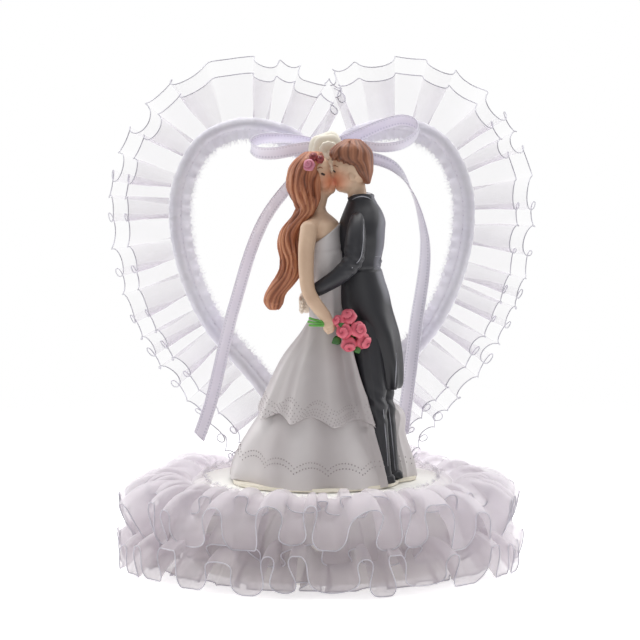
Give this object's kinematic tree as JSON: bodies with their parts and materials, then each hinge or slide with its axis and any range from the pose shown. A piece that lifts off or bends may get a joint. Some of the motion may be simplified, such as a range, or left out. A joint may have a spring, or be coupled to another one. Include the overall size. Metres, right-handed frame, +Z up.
{
  "type": "wedding cake topper",
  "caption": "Cake topper with a painted bride and groom in front of a frilled organza heart with a ribbon bow, standing on a round base with organza frills.",
  "frame": {"origin": "middle of the object's plan, on the table under the base", "axes": "+Z up, -Y towards the viewer, so the couple stands in front of the heart, +X to the viewer's right"},
  "size_m": [0.1489, 0.1366, 0.1725],
  "materials": {
    "ivory_plastic": "satin moulded plastic",
    "organza": "sheer woven nylon with a monofilament hem",
    "sleeve_cloth": "doubled organza, stitched",
    "wire_steel": "drawn wire",
    "hot_glue": "set glue",
    "satin_ribbon": "satin with picot edges",
    "cream_ribbon": "rolled ribbon",
    "gown_white": "painted cast resin",
    "skin_paint": "painted cast resin",
    "auburn_paint": "painted cast resin",
    "brown_paint": "painted cast resin",
    "suit_charcoal": "painted cast resin",
    "shirt_white": "painted cast resin",
    "rose_pink": "painted cast resin",
    "leaf_green": "painted cast resin"
  },
  "bodies": {
    "root": {"base_drum": "ivory_plastic", "base_frill_lower": "organza", "base_frill_upper": "organza", "bow_knot": "satin_ribbon", "bow_loop_left": "satin_ribbon", "bow_loop_right": "satin_ribbon", "bow_tail_left": "satin_ribbon", "bow_tail_right": "satin_ribbon", "bride_arm_far": "skin_paint", "bride_arm_near": "skin_paint", "bride_bodice": "gown_white", "bride_hair": "auburn_paint", "bride_head": "skin_paint", "bride_overskirt": "gown_white", "bride_shoulders": "skin_paint", "bride_underskirt": "gown_white", "figurine_plinth": "ivory_plastic", "groom_collar": "shirt_white", "groom_far_hand": "skin_paint", "groom_hair": "brown_paint", "groom_head": "skin_paint", "groom_jacket": "suit_charcoal", "groom_leg_far": "suit_charcoal", "groom_leg_near": "suit_charcoal", "groom_shoe_far": "suit_charcoal", "groom_shoe_near": "suit_charcoal", "groom_sleeve_far": "suit_charcoal", "groom_sleeve_near": "suit_charcoal", "hair_flower_1": "rose_pink", "hair_flower_2": "rose_pink", "hair_flower_3": "rose_pink", "heart_frill_back_left": "organza", "heart_frill_back_right": "organza", "heart_frill_front_left": "organza", "heart_frill_front_right": "organza", "heart_sleeve_left": "sleeve_cloth", "heart_sleeve_right": "sleeve_cloth", "heart_wire": "wire_steel", "posy_holder": "leaf_green", "posy_leaf_1": "leaf_green", "posy_leaf_2": "leaf_green", "posy_leaf_3": "leaf_green", "posy_rose_1": "rose_pink", "posy_rose_2": "rose_pink", "posy_rose_3": "rose_pink", "posy_rose_4": "rose_pink", "posy_rose_5": "rose_pink", "posy_rose_6": "rose_pink", "posy_stems": "leaf_green", "ribbon_rose": "cream_ribbon", "wire_glue": "hot_glue"}
  },
  "joints": []
}
